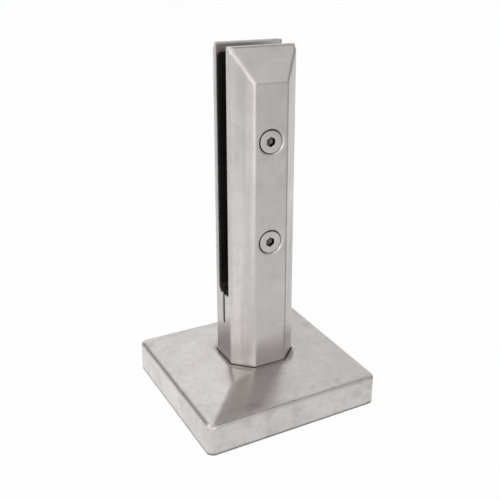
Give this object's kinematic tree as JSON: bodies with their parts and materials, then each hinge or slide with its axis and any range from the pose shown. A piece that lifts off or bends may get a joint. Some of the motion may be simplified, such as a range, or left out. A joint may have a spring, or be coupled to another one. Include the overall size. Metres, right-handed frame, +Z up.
{
  "type": "floor-mounted glass spigot",
  "caption": "Slim chamfered steel post with a rubber-lined glass slot, clamp screws, an anchor flange and a square hipped dress cover at its foot.",
  "frame": {"origin": "on the floor, under the middle of the post", "axes": "+Z up along the post, -Y towards the face with the screw heads, X along the glass"},
  "size_m": [0.11, 0.11, 0.215],
  "materials": {
    "satin_steel": "satin brushed stainless",
    "screw_steel": "turned stainless",
    "black_rubber": "matte"
  },
  "bodies": {
    "casting": {"spigot_body": "satin_steel", "rear_pad": "black_rubber", "front_pad": "black_rubber", "lower_screw_sleeve": "black_rubber", "upper_screw_sleeve": "black_rubber"},
    "cover": {"base_cover": "satin_steel"},
    "lower_washer": {"lower_screw_washer": "screw_steel"},
    "lower_screw": {"lower_clamp_screw": "screw_steel"},
    "upper_washer": {"upper_screw_washer": "screw_steel"},
    "upper_screw": {"upper_clamp_screw": "screw_steel"}
  },
  "joints": [
    {"name": "cover_lift", "type": "slide", "parent": "casting", "child": "cover", "axis": [0, 0, 1], "range_m": [0, 0.18]},
    {"name": "lower_screw_travel", "type": "slide", "parent": "casting", "child": "lower_washer", "axis": [0, -1, 0], "range_m": [0, 0.00625]},
    {"name": "lower_screw_turn", "type": "hinge", "parent": "lower_washer", "child": "lower_screw", "pos_m": [0, 0, 0.1046], "axis": [0, -1, 0], "range_deg": [0, 1800]},
    {"name": "upper_screw_travel", "type": "slide", "parent": "casting", "child": "upper_washer", "axis": [0, -1, 0], "range_m": [0, 0.00625]},
    {"name": "upper_screw_turn", "type": "hinge", "parent": "upper_washer", "child": "upper_screw", "pos_m": [0, 0, 0.164], "axis": [0, -1, 0], "range_deg": [0, 1800]}
  ],
  "couplings": [
    {"joint": "lower_screw_travel", "follows": "lower_screw_turn", "m_per_rad": 0.00019894},
    {"joint": "upper_screw_travel", "follows": "upper_screw_turn", "m_per_rad": 0.00019894}
  ]
}
